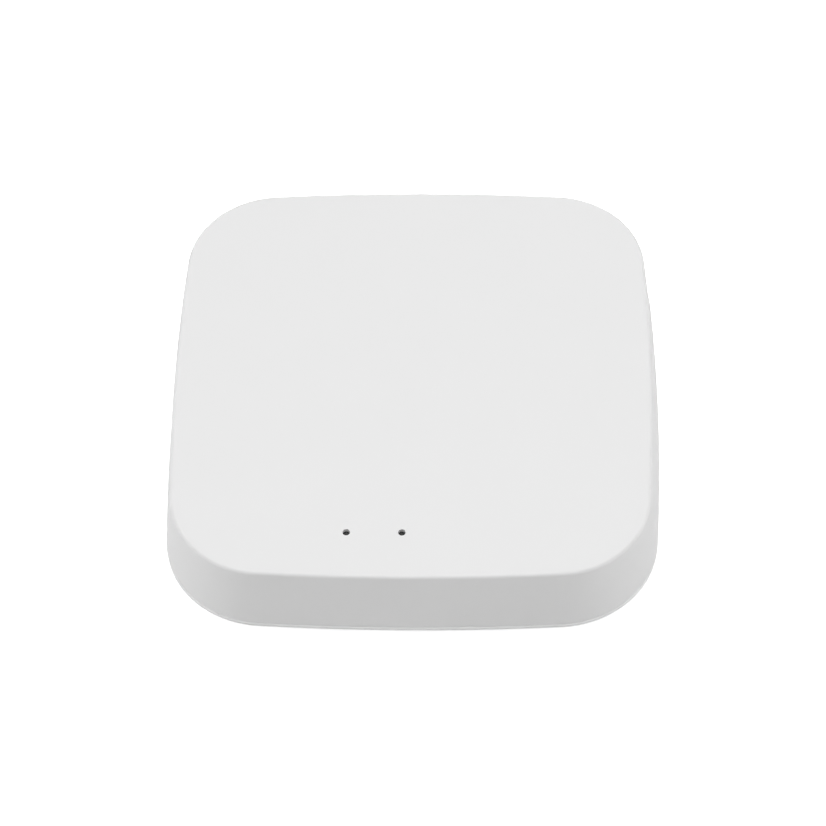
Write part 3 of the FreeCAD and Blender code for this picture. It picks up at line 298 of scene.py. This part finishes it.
@wear("rating_label")
def label_film():
    """A blank film label: satin silver white with a thin printed frame and ruled fields, and no words."""
    f = Finish("label_film")
    low, high = box_mm("rating_label")
    edge = f.outside_box(low, high)
    frame_line = f.calc("SUBTRACT", f.step(edge, -1.15, -1.10), f.step(edge, -0.95, -0.90))
    row = f.calc("FRACT", f.calc("DIVIDE", f.y, RULE_SPACING))
    rule = f.calc("ABSOLUTE", f.calc("SUBTRACT", row, 0.5))
    ruled = f.calc("MULTIPLY", f.step(rule, 0.030, 0.018), f.step(edge, -1.9, -2.0))
    ink = f.calc("MULTIPLY", f.calc("MAXIMUM", frame_line, ruled), f.step(f.facing[2], -0.5, -0.9))
    paper = f.shade((0.74, 0.74, 0.75), f.noise(0.25, 4.0), 0.02)
    f.relief(f.noise(1.8, 2.0), 0.004)
    return f.done(f.mix(ink, paper, grey(0.24)), f.spread(f.noise(0.2), 0.30, 0.42), Coat_Weight=0.3)


@wear("case_screws")
def screw_steel():
    """Zinc-plated steel: turned rings on the heads, and a faint blue and straw tint."""
    f = Finish("screw_steel")
    reach = box_mm("case_screws")[1].x - SCREW_HEAD_RADIUS
    away = f.near_axis([(x, y) for x in (-reach, reach) for y in (-reach, reach)])
    rings = f.spread(f.calc("SINE", f.calc("MULTIPLY", away, 2 * math.pi / 0.07)), 0.0, 1.0)
    tint = f.mix(f.noise(1.6, 2.0), (0.60, 0.63, 0.68), (0.70, 0.67, 0.58))
    f.relief(rings, 0.0012)
    f.relief(f.noise(0.10, 3.0), 0.0015)
    return f.done(tint, f.spread(f.noise(0.5, 3.0), 0.26, 0.42), metallic=1.0)


# ---------------------------------------------------------------- indicators


@wear("pairing_led", "network_led")
def led_parts():
    """A white ceramic base below, and above it a lens filled with yellow phosphor."""
    f = Finish("led_resin")
    base_top = box_mm("pairing_led")[0].z + LED_BASE
    lens = f.step(f.z, base_top, base_top + 0.02)
    resin = f.shade((0.86, 0.78, 0.36), f.noise(0.12, 3.0), 0.06)
    ceramic = f.shade(grey(0.78), f.noise(0.05, 3.0), 0.04)
    f.relief(f.noise(0.06), 0.001)
    return f.done(f.mix(lens, ceramic, resin), f.step(lens, 0.0, 1.0, 0.55, 0.14))


@wear("pairing_light_guide", "network_light_guide")
def smoked_acrylic():
    """Dark smoked acrylic, polished, with the faint flow marks of a moulding."""
    f = Finish("smoked_light_guide")
    flow = f.noise(0.8, 2.0, stretch=(1, 1, 5))
    f.relief(flow, 0.003)
    return f.done(f.shade(grey(0.040), flow, 0.25), f.spread(f.noise(0.3), 0.12, 0.22), Coat_Weight=0.2)


@wear("light_shield")
def black_silicone():
    """Soft black silicone: a matt skin with specks of dust."""
    f = Finish("black_silicone")
    dust = f.step(f.noise(0.09, 4.0), 0.66, 0.74)
    f.relief(f.noise(0.2, 3.0), 0.006)
    return f.done(f.mix(dust, grey(0.020), grey(0.060)), f.spread(f.noise(0.6), 0.68, 0.82))


# ---------------------------------------------------------------- power inlet and pairing switch


def drawn_metal(name, colour, roughness, grain=(1, 24, 1), size=0.05):
    """Thin sheet, rolled or drawn along one axis: fine lines, a soft cloudiness and a few rubbed spots."""
    f = Finish(name)
    lines = f.noise(size, 2.0, stretch=grain)
    cloud = f.noise(1.4, 3.0)
    rubbed = f.step(cloud, 0.62, 0.75)
    f.relief(lines, 0.0015)
    low, high = roughness
    rough = f.calc("MULTIPLY", f.spread(lines, low, high), f.step(rubbed, 0.0, 1.0, 1.0, 0.7))
    return f.done(f.shade(colour, cloud, 0.07), rough, metallic=1.0)


@wear("usb_shell", "switch_cover")
def nickel_steel():
    return drawn_metal("nickel_steel", NICKEL, (0.22, 0.36))


@wear("switch_dome")
def spring_steel():
    return drawn_metal("spring_steel", (0.60, 0.60, 0.59), (0.18, 0.30), grain=(20, 1, 1))


@wear("usb_contacts")
def gold_contact():
    return drawn_metal("gold_contact", GOLD, (0.16, 0.28), size=0.03)


def filled_plastic(name, colour, roughness):
    """Black plastic filled with short glass fibres, which show as fine pale flecks."""
    f = Finish(name)
    fibres = f.step(f.noise(0.05, 2.0, stretch=(1, 9, 1)), 0.66, 0.76)
    f.relief(f.noise(0.08, 3.0), 0.003)
    pale = [3.0 * channel for channel in colour]
    speckled = f.mix(fibres, f.shade(colour, f.noise(1.0, 3.0), 0.15), pale)
    return f.done(speckled, f.spread(f.noise(0.2, 2.0), *roughness))


@wear("usb_insulator", "switch_housing", "capacitor_bases")
def socket_black():
    return filled_plastic("socket_black", grey(0.022), (0.40, 0.55))


@wear("switch_plunger")
def plunger_black():
    return filled_plastic("switch_plunger_black", grey(0.028), (0.26, 0.38))


def spring_leaf():
    """The switch's bowed leaf: a copy of the switch dome's mesh on the root body, which takes the dome's
    place.
    """
    leaf = bpy.data.objects.new("switch_leaf", nodes["switch_dome"].data.copy())
    scene.collection.objects.link(leaf)
    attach(leaf, "root")
    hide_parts("switch_dome")
    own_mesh(leaf)


# ---------------------------------------------------------------- circuit boards


def circuit_board(name, mask, outlined, pitch):
    """Solder mask over copper: bundled tracks, vias, bare laminate on the cut edges, white outlines."""
    f = Finish(name)
    flat = f.join(f.x, f.y, 0.0)
    top = f.step(f.calc("ABSOLUTE", f.facing[2]), 0.5, 0.9)

    # Tracks run in bundles: each block of the board has its own direction.
    choice = f.split(f.cells(5.5, metric="CHEBYCHEV", place=flat)[1])
    lines = []
    for across in (f.x, f.y, f.calc("MULTIPLY", f.calc("ADD", f.x, f.y), math.sqrt(0.5))):
        turn = f.calc("FRACT", f.calc("DIVIDE", f.calc("ADD", across, 100.0), pitch))
        lines.append(f.step(f.calc("ABSOLUTE", f.calc("SUBTRACT", turn, 0.5)), 0.20, 0.24, 1.0, 0.0))
    along_x = f.step(choice[0], 0.40, 0.401)
    slanted = f.step(choice[0], 0.80, 0.801)
    shares = (f.calc("SUBTRACT", 1.0, along_x), f.calc("SUBTRACT", along_x, slanted), slanted)
    first, second, third = (f.calc("MULTIPLY", line, share) for line, share in zip(lines, shares))
    tracks = f.calc("ADD", f.calc("ADD", first, second), third)
    laid = f.step(choice[1], 0.35, 0.351)
    copper = f.calc("MAXIMUM", f.calc("MULTIPLY", tracks, laid), f.step(choice[2], 0.80, 0.801))

    # Vias: a tinned ring round a dark hole, in some of the cells.
    away, colours = f.cells(2.4, place=flat, scatter=0.7)
    drilled = f.step(f.split(colours)[0], 0.55, 0.551)
    ring = f.calc("MULTIPLY", f.step(away, 0.30, 0.27), drilled)
    hole = f.calc("MULTIPLY", f.step(away, 0.15, 0.12), drilled)

    # White outlines round the fitted parts
    printed = None
    for part in outlined:
        low, high = box_mm(part)
        edge = f.outside_box(low, high)
        line = f.calc("SUBTRACT", f.step(edge, 0.22, 0.26), f.step(edge, 0.38, 0.42))
        printed = f.calc("MAXIMUM", printed, line) if printed else line
    printed = f.calc("MULTIPLY", printed or 0.0, f.step(f.facing[2], 0.5, 0.9))

    light = [2.1 * channel for channel in mask]
    colour = f.mix(copper, f.shade(mask, f.noise(1.5, 3.0), 0.12), light)
    colour = f.mix(f.calc("MULTIPLY", ring, top), colour, TIN)
    colour = f.mix(f.calc("MULTIPLY", hole, top), colour, grey(0.01))
    colour = f.mix(printed, colour, INK_WHITE)
    plies = f.noise(0.10, 2.0, stretch=(12, 12, 1))
    colour = f.mix(top, f.shade(LAMINATE, plies, 0.25), colour)
    f.relief(copper, 0.012)
    f.relief(f.noise(0.25, 2.0), 0.002)
    roughness = f.calc("ADD", f.step(top, 0.0, 1.0, 0.75, 0.24), f.calc("MULTIPLY", printed, 0.4))
    return f.done(colour, roughness, metallic=f.calc("MULTIPLY", f.calc("SUBTRACT", ring, hole), top))


@wear("main_board")
def board_green():
    fitted = ("regulator_body", "power_inductor", "memory_chip_body", "crystal_base", "input_fuse_ends",
              "surge_diode", "switch_housing", "pairing_led", "network_led")
    return circuit_board("board_green", MASK_GREEN, fitted, pitch=0.55)


@wear("wifi_module_board", "mesh_radio_module_board")
def module_blue():
    return circuit_board("module_blue", MASK_BLUE, ("wifi_shield_can", "mesh_radio_shield_can"), pitch=0.40)


@wear("wifi_aerial", "mesh_radio_aerial")
def copper_track():
    """Copper seen through thin solder mask: warm, clouded, with an etched edge."""
    f = Finish("copper_track")
    stain = f.noise(0.9, 4.0)
    f.relief(f.noise(0.07, 2.0), 0.0015)
    colour = f.mix(f.step(stain, 0.35, 0.75), COPPER, (0.50, 0.24, 0.10))
    return f.done(colour, f.spread(f.noise(0.2), 0.24, 0.40), metallic=0.9, Coat_Weight=0.6)


# ---------------------------------------------------------------- parts on the boards


@wear("wifi_shield_can", "mesh_radio_shield_can")
def tinned_steel():
    """Tin-plated sheet: large faint crystals, rolling lines and a few fine scratches."""
    f = Finish("tinned_steel")
    crystals = f.split(f.cells(2.2)[1])[0]
    lines = f.noise(0.04, 2.0, stretch=(30, 1, 1))
    scratch = f.step(f.noise(0.30, 3.0, stretch=(1, 14, 1)), 0.70, 0.73)
    f.relief(lines, 0.0010)
    f.relief(scratch, -0.0015)
    rough = f.calc("ADD", f.spread(crystals, 0.24, 0.34), f.calc("MULTIPLY", scratch, 0.15))
    return f.done(f.shade(TIN, crystals, 0.05), rough, metallic=1.0)


@wear(
    "wifi_chip", "mesh_radio_chip", "memory_chip_body",
    "regulator_body", "transistor_bodies", "surge_diode",
)
def chip_black():
    """Moulded epoxy: charcoal with a fine grain, and a polished dimple that marks pin one."""
    f = Finish("chip_black")
    corners = []
    for chip in ("wifi_chip", "mesh_radio_chip", "memory_chip_body"):
        low, _ = box_mm(chip)
        corners.append((low.x + PIN_ONE_INSET, low.y + PIN_ONE_INSET))
    dimple = f.step(f.near_axis(corners), 0.38, 0.32)
    grain = f.noise(0.05, 3.0)
    f.relief(f.calc("MULTIPLY", grain, f.calc("SUBTRACT", 1.0, dimple)), 0.005)
    f.relief(dimple, -0.04)
    colour = f.shade(EPOXY, f.noise(0.7, 3.0), 0.20)
    return f.done(colour, f.calc("SUBTRACT", f.spread(grain, 0.50, 0.64), f.calc("MULTIPLY", dimple, 0.25)))


@wear(
    "wifi_solder_joints", "mesh_radio_solder_joints", "memory_chip_leads", "regulator_leads",
    "transistor_leads", "surge_diode_ends", "ceramic_capacitor_ends", "resistor_ends",
    "input_fuse_ends", "switch_terminals",
)
def solder_tin():
    """Reflowed solder: bright, a little rippled, duller where flux dried."""
    f = Finish("solder_tin")
    flux = f.step(f.noise(0.5, 3.0), 0.55, 0.75)
    f.relief(f.noise(0.22, 2.0), 0.012)
    colour = f.mix(flux, TIN, (0.56, 0.52, 0.42))
    return f.done(colour, f.step(flux, 0.0, 1.0, 0.18, 0.42), metallic=1.0)


@wear("capacitor_cans")
def capacitor_aluminium():
    """Drawn aluminium: lines down the sides, turned rings on top, a dark mark over the minus side."""
    f = Finish("capacitor_aluminium")
    low, high = box_mm("capacitor_cans")
    radius = (high.y - low.y) / 2
    middle = (low.y + high.y) / 2
    centres = [(low.x + radius, middle), (high.x - radius, middle)]
    away = f.near_axis(centres)
    rings = f.spread(f.calc("SINE", f.calc("MULTIPLY", away, 2 * math.pi / 0.12)), 0.0, 1.0)
    lid = f.step(f.facing[2], 0.80, 0.95)
    mark = f.calc("MULTIPLY", f.step(f.y, middle + MINUS_MARK, middle + MINUS_MARK + 0.05), lid)
    mark = f.calc("MULTIPLY", mark, f.step(away, radius - 0.45, radius - 0.50))
    drawn = f.noise(0.05, 2.0, stretch=(1, 1, 20))
    f.relief(f.calc("MULTIPLY", rings, lid), 0.0015)
    f.relief(drawn, 0.0012)
    colour = f.mix(mark, f.shade((0.80, 0.80, 0.81), drawn, 0.05), grey(0.03))
    rough = f.calc("ADD", f.spread(f.noise(0.8), 0.22, 0.34), f.calc("MULTIPLY", mark, 0.25))
    return f.done(colour, rough, metallic=f.calc("SUBTRACT", 1.0, mark))


@wear("power_inductor")
def inductor_ferrite():
    """A pressed ferrite block: dark grey, with small lighter specks painted in as glints, and a lighter
    resin in its round window.
    """
    f = Finish("inductor_ferrite")
    away = f.near_axis([middle_of("power_inductor")])
    rim = f.step(away, INDUCTOR_WINDOW + 0.02, INDUCTOR_WINDOW - 0.02)
    window = f.calc("MULTIPLY", rim, f.step(f.facing[2], 0.5, 0.9))
    # painted glints: small lighter specks in the colour stand in for the ferrite's sparkle
    painted_glints = f.step(f.noise(0.06, 3.0), 0.62, 0.74)
    f.relief(f.noise(0.12, 4.0), 0.010)
    colour = f.mix(painted_glints, f.shade(grey(0.070), f.noise(0.9, 3.0), 0.15), grey(0.16))
    colour = f.mix(window, colour, (0.10, 0.085, 0.070))
    return f.done(colour, f.step(window, 0.0, 1.0, 0.68, 0.38))


def fired_ceramic(name, colour, speck, roughness):
    """Fired ceramic: mottled, with small darker specks and a dry surface."""
    f = Finish(name)
    specks = f.step(f.noise(0.07, 3.0), 0.60, 0.72)
    f.relief(f.noise(0.09, 3.0), 0.004)
    mottled = f.shade(colour, f.noise(0.6, 3.0), 0.10)
    return f.done(f.mix(specks, mottled, speck), f.spread(specks, *roughness))


@wear("ceramic_capacitor_chips")
def capacitor_ceramic():
    return fired_ceramic("capacitor_ceramic", (0.40, 0.25, 0.13), (0.26, 0.16, 0.08), (0.40, 0.55))


@wear("crystal_base")
def crystal_ceramic():
    return fired_ceramic("crystal_ceramic", (0.20, 0.16, 0.13), (0.12, 0.10, 0.08), (0.50, 0.62))


@wear("crystal_lid")
def crystal_lid_metal():
    return drawn_metal("crystal_lid_metal", (0.78, 0.70, 0.50), (0.22, 0.34), grain=(18, 1, 1))


@wear("resistor_chips")
def resistor_glaze():
    """White alumina with a black glazed film on top."""
    f = Finish("resistor_black")
    glazed = f.step(f.facing[2], 0.5, 0.9)
    f.relief(f.noise(0.10, 2.0), 0.003)
    alumina = f.shade(grey(0.72), f.noise(0.05, 3.0), 0.06)
    glaze = f.shade(grey(0.012), f.noise(0.4, 3.0), 0.3)
    return f.done(f.mix(glazed, alumina, glaze), f.step(glazed, 0.0, 1.0, 0.60, 0.16))


@wear("input_fuse")
def fuse_polymer():
    """Green fibre-filled polymer with a faint weave."""
    f = Finish("fuse_polymer")
    wave = [f.calc("SINE", f.calc("MULTIPLY", axis, 2 * math.pi / 0.22)) for axis in (f.x, f.y)]
    weave = f.spread(f.calc("MULTIPLY", *wave), 0.3, 0.8)
    f.relief(weave, 0.004)
    colour = f.shade((0.030, 0.170, 0.080), weave, 0.15)
    return f.done(colour, f.spread(f.noise(0.3), 0.36, 0.50))


# ---------------------------------------------------------------- studio


def pale_floor():
    """A wide white table, whose glow is seen but lights nothing."""
    reach = FLOOR_REACH
    mesh = bpy.data.meshes.new("floor")
    corners = [(-reach, -reach, 0), (reach, -reach, 0), (reach, reach, 0), (-reach, reach, 0)]
    mesh.from_pydata(corners, [], [(0, 1, 2, 3)])
    floor = bpy.data.objects.new("floor", mesh)
    scene.collection.objects.link(floor)
    f = Finish("pale_floor")
    paper = f.shade(grey(0.93), f.noise(40.0, 2.0), 0.004)
    seen = f.add("ShaderNodeLightPath").outputs["Is Camera Ray"]
    glow = f.calc("MULTIPLY", seen, FLOOR_GLOW)
    mesh.materials.append(f.done(paper, 0.9, Emission_Color=(1.0, 1.0, 1.0, 1.0), Emission_Strength=glow))


def softbox(name, place, width, height, watts):
    """A soft rectangular lamp that faces the hub. The low strips leave no glare on the flat top."""
    light = bpy.data.lights.new(name, "AREA")
    light.shape = "RECTANGLE"
    light.size = width
    light.size_y = height
    light.energy = watts
    lamp = bpy.data.objects.new(name, light)
    scene.collection.objects.link(lamp)
    lamp.location = place
    lamp.rotation_mode = "QUATERNION"
    lamp.rotation_quaternion = Vector(place).to_track_quat("Z", "Y")
    lamp.visible_glossy = not name.endswith("_strip")


def pale_world():
    """The room beyond the table: pale to look at, and too weak to light anything."""
    world = bpy.data.worlds.new("studio")
    world.use_nodes = True
    scene.world = world
    tree = world.node_tree
    background = tree.nodes["Background"]
    background.inputs["Color"].default_value = (1.0, 1.0, 1.0, 1.0)
    seen = tree.nodes.new("ShaderNodeLightPath").outputs["Is Camera Ray"]
    tree.links.new(seen, background.inputs["Strength"])


def front_camera():
    """A long lens, above and in front of the hub."""
    level = math.cos(ELEVATION)
    back = Vector((math.sin(AZIMUTH) * level, -math.cos(AZIMUTH) * level, math.sin(ELEVATION)))
    lens = bpy.data.cameras.new("camera")
    lens.sensor_width = 36.0
    lens.lens = FOCAL_LENGTH
    lens.clip_start = 0.01
    camera = bpy.data.objects.new("camera", lens)
    scene.collection.objects.link(camera)
    camera.location = AIM + back * DISTANCE
    camera.rotation_mode = "QUATERNION"
    camera.rotation_quaternion = back.to_track_quat("Z", "Y") @ Quaternion((0, 0, 1), ROLL)
    scene.camera = camera


spring_leaf()
pale_floor()
for lamp_name, settings in SOFTBOXES.items():
    softbox(lamp_name, *settings)
pale_world()
front_camera()
scene.view_settings.view_transform = "Standard"
